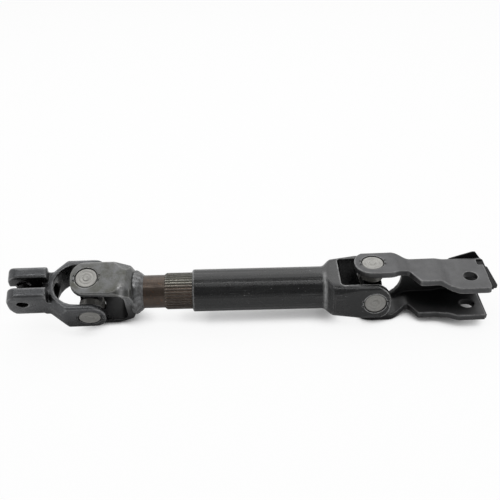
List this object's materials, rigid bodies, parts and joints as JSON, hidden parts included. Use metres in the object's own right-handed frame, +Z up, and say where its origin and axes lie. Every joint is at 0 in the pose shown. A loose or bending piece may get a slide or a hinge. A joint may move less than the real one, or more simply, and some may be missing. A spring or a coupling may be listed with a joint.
{
  "type": "steering joint",
  "caption": "Telescoping splined steering shaft with a universal joint at each end, a split clamp yoke and an open channel yoke with a sheet clip.",
  "frame": {"origin": "bottom centre of the whole part as it lies on a flat surface", "axes": "+X along the shaft from the clamp yoke to the channel yoke, +Z up, the channel opens towards -Y"},
  "size_m": [0.3518, 0.0514, 0.0513],
  "materials": {
    "forged_grey": "dark grey forged steel, thin worn coating with light edges",
    "pressed_grey": "grey worn coating with greenish and brown patches",
    "plate_grey": "satin mid grey coated plate with light edges",
    "black_finish": "semi-gloss black with worn bright edges",
    "spring_sheet": "black sheet steel",
    "heat_tinted_steel": "turned steel with a bronze brown heat tint",
    "weld_metal": "dull rippled weld",
    "bearing_cup": "light satin steel with turned rings",
    "bearing_steel": "ground steel",
    "seal_rubber": "matt black rubber"
  },
  "bodies": {
    "tube": {"tube_yoke": "black_finish", "cup_right_tube_1": "bearing_cup", "cup_right_tube_2": "bearing_cup", "needles_right_tube_1": "bearing_steel", "needles_right_tube_2": "bearing_steel"},
    "right_cross": {"right_cross": "bearing_steel", "seal_right_1": "seal_rubber", "seal_right_2": "seal_rubber", "seal_right_3": "seal_rubber", "seal_right_4": "seal_rubber"},
    "right_yoke": {"channel_yoke": "plate_grey", "retaining_clip": "spring_sheet", "cup_right_channel_1": "bearing_cup", "cup_right_channel_2": "bearing_cup", "needles_right_channel_1": "bearing_steel", "needles_right_channel_2": "bearing_steel"},
    "shaft": {"splined_shaft": "heat_tinted_steel", "shaft_yoke": "pressed_grey", "weld_bead": "weld_metal", "cup_left_shaft_1": "bearing_cup", "cup_left_shaft_2": "bearing_cup", "needles_left_shaft_1": "bearing_steel", "needles_left_shaft_2": "bearing_steel"},
    "left_cross": {"left_cross": "bearing_steel", "seal_left_1": "seal_rubber", "seal_left_2": "seal_rubber", "seal_left_3": "seal_rubber", "seal_left_4": "seal_rubber"},
    "left_yoke": {"clamp_yoke": "forged_grey", "cup_left_clamp_1": "bearing_cup", "cup_left_clamp_2": "bearing_cup", "needles_left_clamp_1": "bearing_steel", "needles_left_clamp_2": "bearing_steel"}
  },
  "joints": [
    {"name": "shaft_slide", "type": "slide", "parent": "tube", "child": "shaft", "axis": [0.9999, 0, -0.0164], "range_m": [-0.02, 0.03]},
    {"name": "right_cross_pivot", "type": "hinge", "parent": "tube", "child": "right_cross", "pos_m": [0.09027, 0.00112, 0.0216], "axis": [0, 1, 0], "range_deg": [-25.94, 24.06]},
    {"name": "right_yoke_pivot", "type": "hinge", "parent": "right_cross", "child": "right_yoke", "pos_m": [0.09027, 0.00112, 0.0216], "axis": [0, 0, 1], "range_deg": [-25, 25]},
    {"name": "left_cross_pivot", "type": "hinge", "parent": "shaft", "child": "left_cross", "pos_m": [-0.1179, 0.00112, 0.02501], "axis": [0.0152, -0.3746, 0.9271], "range_deg": [-27.5, 22.5]},
    {"name": "left_yoke_pivot", "type": "hinge", "parent": "left_cross", "child": "left_yoke", "pos_m": [-0.1179, 0.00112, 0.02501], "axis": [-0.0375, 0.9263, 0.3749], "range_deg": [-28, 22]}
  ]
}
